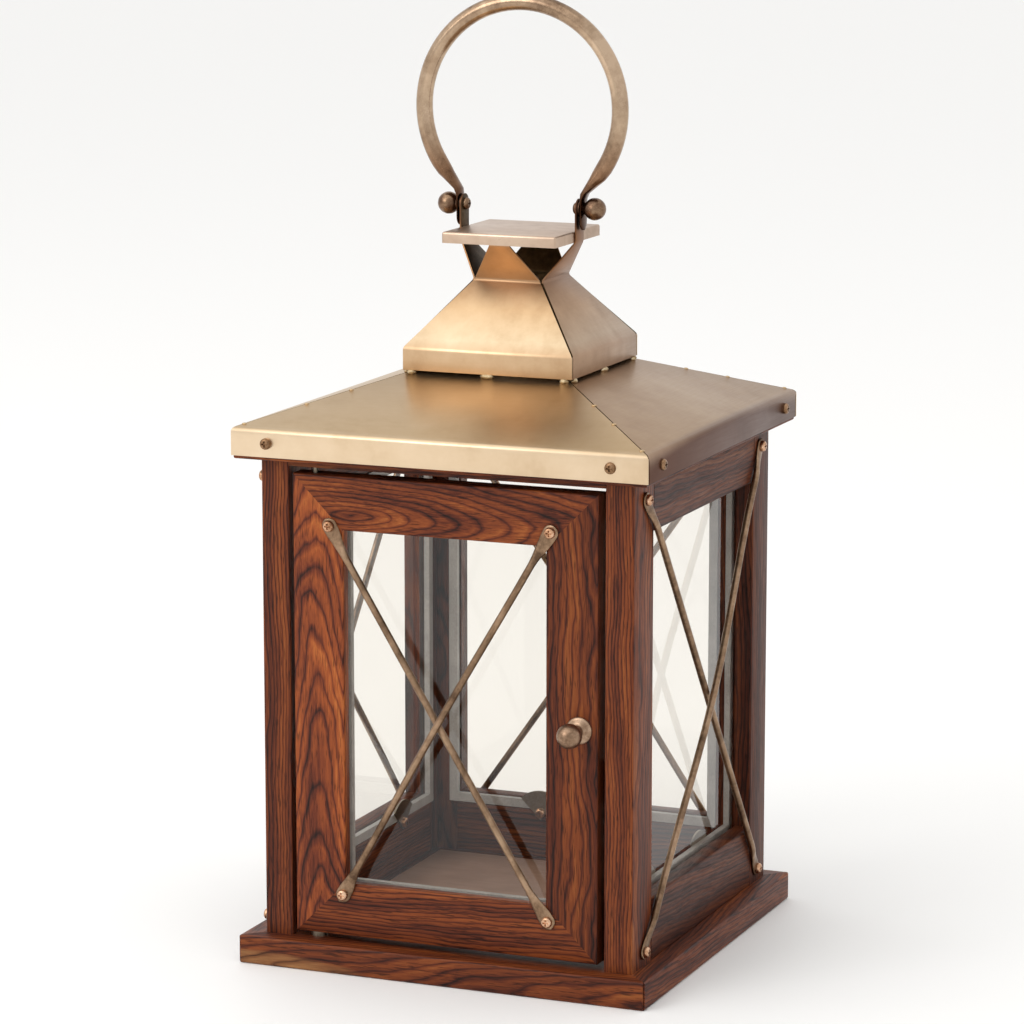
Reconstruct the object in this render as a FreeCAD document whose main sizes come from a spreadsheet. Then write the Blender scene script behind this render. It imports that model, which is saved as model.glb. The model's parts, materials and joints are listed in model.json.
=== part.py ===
import FreeCAD, Part
import math
import os
import re
from FreeCAD import Placement, Rotation, Vector

# Hanging lantern for a candle: wooden frame, glazed sides and door, folded brass roof, hood, cap and bail.
# +X runs to the right along the door side, +Y to the back, +Z up; the origin is the middle of the underside.
# Each side is laid out as the front is, with u along it, v towards the back and z up, and then turned
# about Z by quarter turns: 0 front, 1 right, 2 back, 3 left.

doc = FreeCAD.newDocument("lantern")

# Every size that can be set by itself, in millimetres.
cells = {
    "base_overhang": 11.25,
    "base_board_height": 15.4,
    "base_board_width": 36.0,
    "floor_thickness": 6.0,
    "floor_lap": 5.0,
    "joint_gap": 0.3,
    "body_width": 209.5,
    "panel_height": 258.5,
    "panel_thickness": 15.7,
    "stile_width": 28.8,
    "rear_stile_width": 25.2,
    "back_stile_width": 13.1,
    "top_rail_width": 29.8,
    "bottom_rail_width": 33.7,
    "top_frame_overhang": 10.75,
    "top_board_height": 15.4,
    "top_board_width": 36.0,
    "head_strip_height": 4.0,
    "head_strip_depth": 14.0,
    "glass_thickness": 3.0,
    "edging_thickness": 3.2,
    "edging_width": 5.0,
    "rebate_lap": 5.0,
    "glass_clearance": 0.4,
    "door_thickness": 13.0,
    "door_left_gap": 2.35,
    "door_right_gap": 3.75,
    "door_bottom_gap": 3.0,
    "door_top_gap": 3.5,
    "door_board_width": 28.8,
    "hinge_pin_radius": 1.6,
    "hinge_pin_inset": 10.5,
    "hinge_pin_bite": 8.0,
    "hinge_pin_reach": 3.0,
    "running_clearance": 0.06,
    "press_bite": 0.02,
    "hinge_washer_radius": 4.5,
    "knob_height": 142.6,
    "knob_inset": 10.2,
    "knob_radius": 6.6,
    "knob_stand_off": 14.0,
    "knob_stem_radius": 2.8,
    "rosette_radius": 7.2,
    "rosette_thickness": 1.6,
    "rod_radius": 1.9,
    "rod_lift": 0.2,
    "rod_crossing_gap": 0.6,
    "rod_end_radius": 4.2,
    "rod_end_thickness": 1.6,
    "rod_end_taper": 20.0,
    "right_screw_inset": 16.0,
    "back_screw_inset": 20.5,
    "left_screw_inset": 6.5,
    "screw_top_inset": 11.2,
    "screw_bottom_inset": 8.0,
    "screw_head_radius": 3.0,
    "screw_head_height": 2.1,
    "screw_shank_radius": 1.2,
    "screw_length": 8.0,
    "screw_hole_clearance": 0.2,
    "cross_slot_width": 0.8,
    "cross_slot_depth": 1.1,
    "clip_radius": 17.0,
    "clip_thickness": 1.0,
    "clip_drop": 11.0,
    "door_clip_lower": 6.5,
    "clip_screw_rise": 4.0,
    "clip_inset": 36.0,
    "sheet_thickness": 1.0,
    "skirt_gap": 0.15,
    "roof_skirt_height": 14.6,
    "roof_skirt_rise": 1.8,
    "hood_lap": 8.35,
    "roof_rise": 25.9,
    "roof_screw_inset": 20.4,
    "hood_skirt_width": 96.7,
    "hood_skirt_height": 12.0,
    "hood_gap": 1.9,
    "hood_rise": 34.6,
    "throat_width": 39.5,
    "vent_height": 20.0,
    "tab_side_gap": 1.0,
    "tab_head_width": 11.0,
    "bead_radius": 2.3,
    "bead_inset": 4.0,
    "cap_width": 65.0,
    "cap_height": 5.9,
    "cap_fold_radius": 1.2,
    "strap_gap": 0.1,
    "pivot_rise": 11.8,
    "bail_radius": 56.1,
    "ring_end_rise": 8.65,
    "bail_tube_radius": 4.5,
    "bail_tube_wall": 1.0,
    "tongue_width": 10.0,
    "tongue_thickness": 1.8,
    "tongue_drop": 6.5,
    "tongue_lap": 2.4,
    "pivot_side_gap": 0.1,
    "pivot_screw_radius": 1.6,
    "pivot_screw_head_radius": 3.3,
    "pivot_screw_head_height": 2.6,
    "pivot_screw_bite": 5.0,
    "washer_radius": 4.4,
    "washer_thickness": 0.8,
    "ball_radius": 6.0,
    "ball_flat": 0.4,
    "magnet_width": 9.0,
    "magnet_depth": 7.0,
    "magnet_height": 22.0,
    "magnet_drop": 30.0,
    "magnet_gap": 0.4,
    "strike_width": 10.0,
    "strike_inset": 1.5,
    "strike_thickness": 1.0,
}

# The door's screws are set by eye, each a little differently beyond its corner of the window (u, z).
door_screw_offsets = {
    "top_left": (-7.4, 2.2),
    "top_right": (2.8, 7.6),
    "bottom_left": (-1.0, -6.2),
    "bottom_right": (1.4, -8.4),
}

sizes = doc.addObject("Spreadsheet::Sheet", "sizes")
for row, (alias, value) in enumerate(cells.items(), start=1):
    sizes.set("A%d" % row, alias)
    sizes.set("B%d" % row, str(value))
    sizes.setAlias("B%d" % row, alias)
doc.recompute()

# Places that follow from the sizes, as expressions of them.
body_face = "(body_width/2)"
base_width = "(body_width+2*base_overhang)"
top_frame_width = "(body_width+2*top_frame_overhang)"
roof_skirt_width = "(%s+2*skirt_gap+2*sheet_thickness)" % top_frame_width
roof_opening_width = "(hood_skirt_width-2*hood_lap)"
panel_top = "(base_board_height+panel_height)"
panel_inside = "(body_width/2-panel_thickness)"
roof_foot = "(base_board_height+panel_height+roof_skirt_rise)"
roof_skirt_top = "(%s+roof_skirt_height)" % roof_foot
roof_slope = "(roof_rise*2/(%s-%s))" % (roof_skirt_width, roof_opening_width)
hood_slope = "(hood_rise*2/(hood_skirt_width-throat_width))"
hood_step = "((%s-hood_skirt_width)/2*%s)" % (roof_skirt_width, roof_slope)
hood_foot = "(%s+%s+hood_gap)" % (roof_skirt_top, hood_step)
throat_top = "(%s+hood_skirt_height+hood_rise)" % hood_foot
cap_foot = "(%s+vent_height)" % throat_top
pivot_height = "(%s+cap_height+pivot_rise)" % cap_foot
strap_inside = "(cap_width/2+strap_gap)"
strap_outside = "(cap_width/2+strap_gap+sheet_thickness)"
tongue_inside = "(%s+washer_thickness+pivot_side_gap)" % strap_outside
tongue_outside = "(%s+tongue_thickness)" % tongue_inside
tongue_middle = "(%s+tongue_thickness/2)" % tongue_inside
ring_centre = "(%s+ring_end_rise+sqrt(bail_radius^2-%s^2))" % (pivot_height, tongue_middle)
door_left = "(-%s+door_left_gap)" % panel_inside
door_right = "(%s-door_right_gap)" % panel_inside
door_foot = "(base_board_height+door_bottom_gap)"
door_head = "(%s-head_strip_height-door_top_gap)" % panel_top
door_back = "(-body_width/2+door_thickness)"
hinge_u = "(%s+hinge_pin_inset)" % door_left
hinge_v = "(-body_width/2+door_thickness/2)"
knob_u = "(%s-knob_inset)" % door_right
rebate_depth = "(glass_thickness+edging_thickness)"

axis_x = Vector(1, 0, 0)
axis_y = Vector(0, 1, 0)
axis_z = Vector(0, 0, 1)
upright = Rotation(axis_x, 90)  # takes a plan drawn in XY to one that stands in XZ
nodes = {}


def bound(expression):
    """The expression with each cell's alias led by the sheet's name."""
    aliases = re.compile(r"\b(%s)\b" % "|".join(cells))
    return aliases.sub(r"sizes.\1", str(expression))


def size(expression):
    """The number that an expression of cells gives."""
    return float(sizes.evalExpression(bound(expression)))


def set_sizes(thing, **expressions):
    for name, expression in expressions.items():
        thing.setExpression(name, bound(expression))


def place(thing, u, v, z, turn=0, rotation=Rotation()):
    """Puts an object at a place on one side, after its own rotation."""
    thing.Placement = Placement(Vector(), Rotation(axis_z, 90 * turn) * rotation)
    across, along = ((u, v), ("-(%s)" % v, u), ("-(%s)" % u, "-(%s)" % v), (v, "-(%s)" % u))[turn]
    thing.setExpression("Placement.Base.x", bound(across))
    thing.setExpression("Placement.Base.y", bound(along))
    thing.setExpression("Placement.Base.z", bound(z))
    return thing


def seat(u, v, z, turn=0, rotation=Rotation()):
    """The placement of a copy at a place on one side."""
    local = Placement(Vector(size(u), size(v), size(z)), rotation)
    return Placement(Vector(), Rotation(axis_z, 90 * turn)).multiply(local)


def block(name, width, depth, height, u, v, z, turn=0):
    box = doc.addObject("Part::Box", name)
    set_sizes(box, Length=width, Width=depth, Height=height)
    return place(box, u, v, z, turn)


def cylinder(name, radius, height, u, v, z, turn=0, rotation=Rotation()):
    rod = doc.addObject("Part::Cylinder", name)
    set_sizes(rod, Radius=radius, Height=height)
    return place(rod, u, v, z, turn, rotation)


def cut(name, base, tool):
    result = doc.addObject("Part::Cut", name)
    result.Base = base
    result.Tool = tool
    return result


def fuse(name, pieces):
    result = doc.addObject("Part::MultiFuse", name)
    result.Shapes = pieces
    return result


def group(name, pieces):
    result = doc.addObject("Part::Compound", name)
    result.Links = pieces
    return result


def copies(name, pattern, seats):
    """A group of equal solids, each a copy of one pattern piece."""
    doc.recompute()
    result = doc.addObject("Part::Feature", name)
    result.Shape = Part.makeCompound([pattern.Shape.transformed(at.toMatrix(), True) for at in seats])
    return result


def keep(node, thing):
    thing.Label = node
    nodes[node] = thing
    return thing


def fillet_edges(name, base, radius, wanted):
    """Rounds the edges that the test picks."""
    doc.recompute()
    rounded = doc.addObject("Part::Fillet", name)
    rounded.Base = base
    picked = [index for index, edge in enumerate(base.Shape.Edges, start=1) if wanted(edge)]
    rounded.Edges = [(index, size(radius), size(radius)) for index in picked]
    return rounded


def is_vertical(edge):
    return abs(edge.tangentAt(edge.FirstParameter).z) > 0.99


# Wooden frames -----------------------------------------------------------------------------------------


def mitred_board(name, length, width, thickness):
    """A board whose ends are cut at 45 degrees towards +Y."""
    board = doc.addObject("Part::Wedge", name)
    board.Xmin = board.Ymin = board.Zmin = board.Z2min = 0
    set_sizes(board, Xmax=length, X2min=width, X2max="%s-%s" % (length, width))
    set_sizes(board, Ymax=width, Zmax=thickness, Z2max=thickness)
    return board


def make_base():
    half = "(-%s/2)" % base_width
    floor_width = "(%s-2*base_board_width+2*floor_lap)" % base_width
    floor_z = "base_board_height-floor_thickness"
    room_half = "-(%s/2+joint_gap)" % floor_width
    room_width = "%s+2*joint_gap" % floor_width
    room = block("floor_room", room_width, room_width, "floor_thickness+1", room_half, room_half, floor_z)
    hinge_z = "base_board_height-hinge_pin_reach-joint_gap"
    bore = cylinder("hinge_bore", "hinge_pin_radius+running_clearance", "base_board_height",
                    hinge_u, hinge_v, hinge_z)
    for turn, side in enumerate(("front", "right", "back", "left")):
        board = mitred_board("base_blank_" + side, base_width, "base_board_width", "base_board_height")
        place(board, half, half, 0, turn)
        tool = fuse("base_cutters", [room, bore]) if side == "front" else room
        keep("base_" + side, cut("base_board_" + side, board, tool))
    corner = "-%s/2" % floor_width
    floor = block("floor", floor_width, floor_width, "floor_thickness", corner, corner, floor_z)
    keep("floor_panel", floor)


def make_top_frame():
    half = "(-%s/2)" % top_frame_width
    for turn, side in enumerate(("front", "right", "back", "left")):
        board = mitred_board("top_blank_" + side, top_frame_width, "top_board_width", "top_board_height")
        keep("top_frame_" + side, place(board, half, half, panel_top, turn))
    strip = block("strip", "2*" + panel_inside, "head_strip_depth", "head_strip_height",
                  "-" + panel_inside, "-" + body_face, panel_top + "-head_strip_height")
    bore = cylinder("strip_bore", "hinge_pin_radius+running_clearance", "2*head_strip_height",
                    hinge_u, hinge_v, panel_top + "-1.5*head_strip_height")
    keep("head_strip", cut("bored_strip", strip, bore))


def pane_pieces(name, width, height, u, inner, z, turn=0):
    """The room cut for a pane, the pane and its edging, all against the inner face of a frame."""
    play = "glass_clearance"
    room = block(name + "_room", "%s+2*%s" % (width, play), rebate_depth + "+1", "%s+2*%s" % (height, play),
                 "%s-%s" % (u, play), "%s-%s" % (inner, rebate_depth), "%s-%s" % (z, play), turn)
    glass = block(name + "_pane", width, "glass_thickness", height,
                  u, "%s-%s" % (inner, rebate_depth), z, turn)
    strip = block(name + "_strip", width, "edging_thickness", height,
                  u, "%s-edging_thickness" % inner, z, turn)
    middle = block(name + "_middle", width + "-2*edging_width", "3*edging_thickness",
                   height + "-2*edging_width", u + "+edging_width", "%s-2*edging_thickness" % inner,
                   z + "+edging_width", turn)
    return room, glass, cut(name + "_edging_strip", strip, middle)


def make_panel(side, turn, width, stile_a, stile_b):
    """A glazed frame of two stiles, whose widths are given from left to right, with two rails between."""
    half = "(%s/2)" % width
    outer = "-" + body_face
    inner = "(-%s)" % panel_inside
    between = "(%s-%s-%s)" % (width, stile_a, stile_b)
    top_z = panel_top + "-top_rail_width"
    pane_width = "(%s+2*rebate_lap)" % between
    pane_z = "(base_board_height+bottom_rail_width-rebate_lap)"
    pane_height = "(panel_height-top_rail_width-bottom_rail_width+2*rebate_lap)"
    window_u = "(%s-%s)" % (stile_a, half)
    room, glass, edging = pane_pieces(side, pane_width, pane_height, window_u + "-rebate_lap",
                                      inner, pane_z, turn)
    members = {
        "stile_a": block(side + "_stile_a", stile_a, "panel_thickness", "panel_height",
                         "-" + half, outer, "base_board_height", turn),
        "stile_b": block(side + "_stile_b", stile_b, "panel_thickness", "panel_height",
                         "%s-%s" % (half, stile_b), outer, "base_board_height", turn),
        "top_rail": block(side + "_top", between, "panel_thickness", "top_rail_width",
                          window_u, outer, top_z, turn),
        "bottom_rail": block(side + "_bottom", between, "panel_thickness", "bottom_rail_width",
                             window_u, outer, "base_board_height", turn),
    }
    stile_names = {"right": ("front_stile", "rear_stile"), "left": ("rear_stile", "front_stile"),
                   "back": ("right_stile", "left_stile")}[side]
    names = dict(zip(("stile_a", "stile_b"), stile_names))
    for member, blank in members.items():
        node = "%s_%s" % (side, names.get(member, member))
        keep(node, cut(node + "_cut", blank, room))
    keep(side + "_glass", glass)
    return edging


# Door --------------------------------------------------------------------------------------------------


def make_door():
    width = "(%s-%s)" % (door_right, door_left)
    height = "(%s-%s)" % (door_head, door_foot)
    pane_width = "(%s-2*door_board_width+2*rebate_lap)" % width
    pane_height = "(%s-2*door_board_width+2*rebate_lap)" % height
    room, glass, edging = pane_pieces("door", pane_width, pane_height,
                                      "(%s+door_board_width-rebate_lap)" % door_left, door_back,
                                      "(%s+door_board_width-rebate_lap)" % door_foot)
    bore_radius = "hinge_pin_radius-press_bite"
    lower_bore = cylinder("lower_bore", bore_radius, "hinge_pin_bite+1", hinge_u, hinge_v, door_foot + "-1")
    upper_bore = cylinder("upper_bore", bore_radius, "hinge_pin_bite+1",
                          hinge_u, hinge_v, door_head + "-hinge_pin_bite")
    boards = {
        "bottom_rail": (width, door_left, door_foot, 0, lower_bore),
        "right_stile": (height, door_right, door_foot, -90, None),
        "top_rail": (width, door_right, door_head, 180, upper_bore),
        "left_stile": (height, door_left, door_head, 90, None),
    }
    for name, (length, u, z, angle, bore) in boards.items():
        board = mitred_board("door_blank_" + name, length, "door_board_width", "door_thickness")
        place(board, u, door_back, z, rotation=Rotation(axis_y, angle) * upright)
        tool = fuse("door_cutters_" + name, [room, bore]) if bore else room
        keep("door_" + name, cut("door_cut_" + name, board, tool))
    keep("door_glass", glass)
    keep("door_edging", edging)
    reach = "hinge_pin_bite+door_bottom_gap+hinge_pin_reach"
    lower = cylinder("lower_pin", "hinge_pin_radius", reach, hinge_u, hinge_v,
                     "base_board_height-hinge_pin_reach")
    upper = cylinder("upper_pin", "hinge_pin_radius", "hinge_pin_bite+door_top_gap+hinge_pin_reach",
                     hinge_u, hinge_v, door_head + "-hinge_pin_bite")
    keep("hinge_pins", group("pin_pair", [lower, upper]))
    disc = cylinder("washer_disc", "hinge_washer_radius", "door_bottom_gap-pivot_side_gap",
                    hinge_u, hinge_v, "base_board_height")
    eye = cylinder("washer_eye", "hinge_pin_radius+running_clearance", "3*door_bottom_gap",
                   hinge_u, hinge_v, "base_board_height-door_bottom_gap")
    keep("hinge_washer", cut("washer_ring", disc, eye))


def make_knob():
    face = "(-body_width/2)"
    plate = cylinder("rosette_disc", "rosette_radius", "rosette_thickness",
                     knob_u, face, "knob_height", rotation=upright)
    keep("knob_rosette", fillet_edges("rosette_round", plate, "rosette_thickness*0.6",
                                      lambda edge: edge.BoundBox.YMax < size(face) - 0.1
                                      and edge.Length > size("rosette_radius*6")))
    stem = cylinder("knob_stem", "knob_stem_radius", "knob_stand_off-rosette_thickness",
                    knob_u, face + "-rosette_thickness", "knob_height", rotation=upright)
    ball = doc.addObject("Part::Sphere", "knob_ball")
    set_sizes(ball, Radius="knob_radius")
    place(ball, knob_u, face + "-knob_stand_off", "knob_height")
    keep("door_knob", fuse("knob_body", [stem, ball]))


def make_catch():
    middle = "knob_height-magnet_drop-magnet_height/2"
    strike = block("strike", "strike_width", "strike_thickness", "magnet_height",
                   door_right + "-strike_width-strike_inset", door_back, middle)
    keep("door_strike", strike)
    magnet = block("magnet", "magnet_width", "magnet_depth", "magnet_height",
                   panel_inside + "-magnet_width", door_back + "+strike_thickness+magnet_gap", middle)
    keep("catch_magnet", magnet)


# Crossed rods and their screws -------------------------------------------------------------------------


def pan_screw(name, head_radius, head_height, shank_radius, length):
    """A cross-slotted pan head screw along Z, with the underside of its head at the origin."""
    head = cylinder(name + "_blank", head_radius, head_height, 0, 0, 0)
    rounded = fillet_edges(name + "_head", head, head_height + "*0.7",
                           lambda edge: edge.BoundBox.ZMin > size(head_height) - 0.01
                           and edge.Length > size(head_radius) * 3)
    shank = cylinder(name + "_shank", shank_radius, length, 0, 0, "-(%s)" % length)
    whole = fuse(name + "_whole", [rounded, shank])
    reach = "%s*1.1" % head_radius
    slots = [block("%s_slot_%d" % (name, turn), reach, "cross_slot_width", "2*cross_slot_depth",
                   "-%s/2" % reach, "-cross_slot_width/2", head_height + "-cross_slot_depth", turn)
             for turn in (0, 1)]
    return cut(name, whole, fuse(name + "_slots", slots))


def rod_shape(length, middle_lift):
    """A round rod along X with flattened, drilled ends on the plane z = 0, bowed out in the middle."""
    radius = size("rod_radius")
    end_radius = size("rod_end_radius")
    thickness = size("rod_end_thickness")
    taper = size("rod_end_taper")
    axis_height = radius + size("rod_lift")
    middle = Vector(length / 2, 0, axis_height + middle_lift)
    # each station of the flattened end: distance from the screw, half width, lowest and highest z
    stations = [(end_radius * 0.25, end_radius * 0.96, 0, thickness),
                (end_radius * 1.4, end_radius * 0.78, 0, thickness),
                (taper, radius * 0.7, axis_height - radius * 0.7, axis_height + radius * 0.7)]
    solids = []
    for start, along in ((Vector(), axis_x), (Vector(length, 0, 0), -axis_x)):
        solids.append(Part.makeCylinder(end_radius, thickness, start, axis_z))
        sections = []
        for reach, half, low, high in stations:
            corners = [start + along * reach + Vector(0, side * half, height)
                       for side, height in ((-1, low), (1, low), (1, high), (-1, high))]
            sections.append(Part.makePolygon(corners + corners[:1]))
        solids.append(Part.makeLoft(sections, True, True))
        neck = start + along * taper + axis_z * axis_height
        if middle_lift:
            solids.append(Part.makeCylinder(radius, (middle - neck).Length, neck, middle - neck))
        elif along.x > 0:
            solids.append(Part.makeCylinder(radius, length - 2 * taper, neck, along))
    if middle_lift:
        solids.append(Part.makeSphere(radius, middle))
    shape = solids[0].fuse(solids[1:])
    eye = size("screw_shank_radius+screw_hole_clearance")
    for start in (Vector(), Vector(length, 0, 0)):
        shape = shape.cut(Part.makeCylinder(eye, thickness * 6, start - axis_z * thickness, axis_z))
    return shape


def rod_between(node, start, end, over, turn):
    """A rod from one screw to another on the outer face of a side."""
    run = Vector(end[0] - start[0], 0, end[1] - start[1])
    lift = size("2*rod_radius+rod_crossing_gap") if over else 0
    rod = doc.addObject("Part::Feature", node + "_rod")
    rod.Shape = rod_shape(run.Length, lift)
    slant = Rotation(axis_z, math.degrees(math.atan2(run.z, run.x)))
    rod.Placement = seat(start[0], "-body_width/2", start[1], turn, upright * slant)
    return keep(node, rod)


def make_rods(side, turn, corners):
    """Two rods crossing on one side, the one from the upper right over the other."""
    rod_between(side + "_rod_under", corners["top_left"], corners["bottom_right"], False, turn)
    rod_between(side + "_rod_over", corners["bottom_left"], corners["top_right"], True, turn)
    return [seat(u, "-body_width/2-rod_end_thickness", z, turn, upright) for u, z in corners.values()]


def frame_corners(inset):
    """The four screw places of a fixed side."""
    across = size("body_width/2-" + inset)
    top = size(panel_top + "-screw_top_inset")
    bottom = size("base_board_height+screw_bottom_inset")
    return {"top_left": (-across, top), "top_right": (across, top),
            "bottom_left": (-across, bottom), "bottom_right": (across, bottom)}


def door_corners():
    """The four screw places of the door, just outside the corners of its window."""
    u = {"left": size(door_left + "+door_board_width"), "right": size(door_right + "-door_board_width")}
    z = {"bottom": size(door_foot + "+door_board_width"), "top": size(door_head + "-door_board_width")}
    places = {}
    for name, (du, dz) in door_screw_offsets.items():
        level, hand = name.split("_")
        places[name] = (u[hand] + du, z[level] + dz)
    return places


def make_crosses():
    """The rods of all four sides, and where their screws stand."""
    frame_seats = []
    for turn, side in ((1, "right"), (2, "back"), (3, "left")):
        frame_seats += make_rods(side, turn, frame_corners(side + "_screw_inset"))
    return frame_seats, make_rods("door", 0, door_corners())


def make_clips():
    """Quarter-round clips that hold the panes from inside, two on each bottom rail."""
    quarter = doc.addObject("Part::Cylinder", "clip_quarter")
    set_sizes(quarter, Radius="clip_radius", Height="clip_thickness", Angle="90")
    reach = "clip_screw_rise*sqrt(2)/2"
    eye = cylinder("clip_eye", "screw_shank_radius+screw_hole_clearance", "3*clip_thickness",
                   reach, reach, "-clip_thickness")
    clip = cut("clip", quarter, eye)
    face_in = Rotation(axis_x, -90)
    arc_up = Rotation(axis_z, 180 + 45)
    rail_top = "(base_board_height+bottom_rail_width)"
    spots = {"frame": [], "door": []}
    for turn, half in ((1, body_face), (2, panel_inside), (3, body_face)):
        across = size("%s-stile_width-clip_inset" % half)
        spots["frame"] += [(hand * across, "-" + panel_inside, rail_top, turn) for hand in (-1, 1)]
    for u in (door_left + "+door_board_width+clip_inset", door_right + "-door_board_width-clip_inset"):
        spots["door"].append((u, door_back, "(%s+door_board_width-door_clip_lower)" % door_foot, 0))
    seats = {}
    for part, places in spots.items():
        plates = [seat(u, v, z + "-clip_drop", turn, face_in * arc_up) for u, v, z, turn in places]
        seats[part] = [seat(u, v + "+clip_thickness", z + "-clip_drop+clip_screw_rise", turn, face_in)
                       for u, v, z, turn in places]
        node = "glass_clips" if part == "frame" else "door_glass_clips"
        keep(node, copies(part + "_clips", clip, plates))
    return seats["frame"], seats["door"]


def make_wood_screws(screw):
    """The screws of the rods and clips: one group on the lantern, one on the door."""
    frame_rods, door_rods = make_crosses()
    frame_clips, door_clips = make_clips()
    keep("frame_screws", copies("frame_screw_set", screw, frame_rods + frame_clips))
    keep("door_screws", copies("door_screw_set", screw, door_rods + door_clips))


# Sheet brass -------------------------------------------------------------------------------------------


def frustum(name, foot, head, rise, z):
    """A square pyramid with a flat top."""
    solid = doc.addObject("Part::Wedge", name)
    solid.Ymin = 0
    set_sizes(solid, Xmin="-%s/2" % foot, Xmax="%s/2" % foot, Zmin="-%s/2" % foot, Zmax="%s/2" % foot)
    set_sizes(solid, X2min="-%s/2" % head, X2max="%s/2" % head, Z2min="-%s/2" % head, Z2max="%s/2" % head)
    set_sizes(solid, Ymax=rise)
    return place(solid, 0, 0, z, rotation=upright)


def square(name, width, height, z):
    half = "-(%s)/2" % width
    return block(name, width, width, height, half, half, z)


def folded_pyramid(name, width, skirt, opening, rise, slope, z):
    """A folded sheet: an upright skirt, four slopes and a square opening at the top."""
    outer = fuse(name + "_outer", [square(name + "_skirt", width, skirt, z),
                                   frustum(name + "_slopes", width, opening, rise, "%s+%s" % (z, skirt))])
    drop = "sheet_thickness*sqrt(1+%s^2)" % slope
    under = fuse(name + "_under", [
        square(name + "_below", width, "%s-%s+1" % (skirt, drop), z + "-1"),
        frustum(name + "_under_slopes", width, opening, rise, "%s+%s-%s" % (z, skirt, drop))])
    inside = doc.addObject("Part::Common", name + "_inside")
    inside.Base = square(name + "_column", width + "-2*sheet_thickness", "%s+%s" % (skirt, rise), z + "-1")
    inside.Tool = under
    mouth = square(name + "_mouth", opening + "-2*sheet_thickness", "%s+%s" % (skirt, rise), z + "+1")
    return cut(name + "_shell", outer, fuse(name + "_hollow", [inside, mouth]))


def make_roof(screw):
    roof = folded_pyramid("roof", roof_skirt_width, "roof_skirt_height", roof_opening_width,
                          "roof_rise", roof_slope, roof_foot)
    across = size("%s/2-roof_screw_inset" % roof_skirt_width)
    middle = roof_foot + "+roof_skirt_height/2"
    seats = [seat(hand * across, "-%s/2" % roof_skirt_width, middle, turn, upright)
             for turn in range(4) for hand in (-1, 1)]
    bore = cylinder("skirt_bore", "screw_shank_radius+screw_hole_clearance", "4*sheet_thickness",
                    0, 0, "-3*sheet_thickness")
    keep("roof_sheet", cut("roof_drilled", roof, copies("skirt_bores", bore, seats)))
    keep("roof_screws", copies("skirt_screws", screw, seats))


def make_hood():
    shell = folded_pyramid("hood", "hood_skirt_width", "hood_skirt_height", "throat_width",
                           "hood_rise", hood_slope, hood_foot)
    pieces = [shell]
    for turn in range(4):
        outside = strap_outside if turn % 2 else "(cap_width/2-sheet_thickness)"
        tab = doc.addObject("Part::Wedge", "tab_%d" % turn)
        tab.Ymin = 0
        set_sizes(tab, Xmin="tab_side_gap-throat_width/2", Xmax="throat_width/2-tab_side_gap",
                  Ymax="vent_height",
                  X2min="-tab_head_width/2", X2max="tab_head_width/2",
                  Zmin="throat_width/2-sheet_thickness", Zmax="throat_width/2",
                  Z2min=outside + "-sheet_thickness", Z2max=outside)
        pieces.append(place(tab, 0, 0, throat_top, turn, upright))
        reach = "cap_height+pivot_rise" if turn % 2 else "cap_height-sheet_thickness"
        pieces.append(block("strap_%d" % turn, "tab_head_width", "sheet_thickness", reach,
                            "-tab_head_width/2", "-" + outside, cap_foot, turn))
        if turn % 2:
            pieces.append(cylinder("ear_%d" % turn, "tab_head_width/2", "sheet_thickness",
                                   0, "-%s+sheet_thickness" % outside, pivot_height, turn, upright))
    bore = cylinder("ear_bore", "pivot_screw_radius+running_clearance", "2*cap_width",
                    "-cap_width", 0, pivot_height, rotation=Rotation(axis_y, 90))
    keep("hood", cut("hood_bored", fuse("hood_fused", pieces), bore))
    bead = doc.addObject("Part::Sphere", "bead")
    set_sizes(bead, Radius="bead_radius")
    reach = size("hood_skirt_width/2-bead_inset")
    seats = [seat(u, "-hood_skirt_width/2+bead_radius/2", hood_foot + "-hood_gap/2", turn)
             for turn in range(4) for u in (-reach, 0, reach)]
    keep("weld_beads", copies("hood_beads", bead, seats))


def make_cap():
    blank = square("cap_blank", "cap_width", "cap_height", cap_foot)
    top = size(cap_foot + "+cap_height")
    rounded = fillet_edges("cap_round", blank, "cap_fold_radius",
                           lambda edge: is_vertical(edge) or edge.BoundBox.ZMin > top - 0.01)
    hollow = square("cap_hollow", "cap_width-2*sheet_thickness", "cap_height-sheet_thickness+1",
                    cap_foot + "-1")
    keep("cap", cut("cap_shell", rounded, hollow))


# Bail --------------------------------------------------------------------------------------------------


def bail_ring(name, radius):
    """The open ring of the bail, whose ends stop over the tongues."""
    ring = doc.addObject("Part::Torus", name)
    set_sizes(ring, Radius1="bail_radius", Radius2=radius,
              Angle3="180 deg + 2*acos(%s/bail_radius)" % tongue_middle)
    start = -math.degrees(math.acos(size(tongue_middle) / size("bail_radius")))
    place(ring, 0, 0, ring_centre, rotation=upright * Rotation(axis_z, start))
    return ring


def make_bail():
    tube = cut("bail_tube", bail_ring("bail_outside", "bail_tube_radius"),
               bail_ring("bail_bore", "bail_tube_radius-bail_tube_wall"))
    pieces = [tube]
    tongue_height = "tongue_drop+ring_end_rise+tongue_lap"
    for turn in (1, 3):
        pieces.append(block("tongue_%d" % turn, "tongue_width", "tongue_thickness", tongue_height,
                            "-tongue_width/2", "-" + tongue_outside, pivot_height + "-tongue_drop", turn))
        pieces.append(cylinder("tongue_end_%d" % turn, "tongue_width/2", "tongue_thickness",
                               0, "-" + tongue_inside, pivot_height + "-tongue_drop", turn, upright))
    bore = cylinder("tongue_bore", "pivot_screw_radius+running_clearance", "2*cap_width",
                    "-cap_width", 0, pivot_height, rotation=Rotation(axis_y, 90))
    keep("bail", cut("bail_bored", fuse("bail_fused", pieces), bore))


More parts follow.
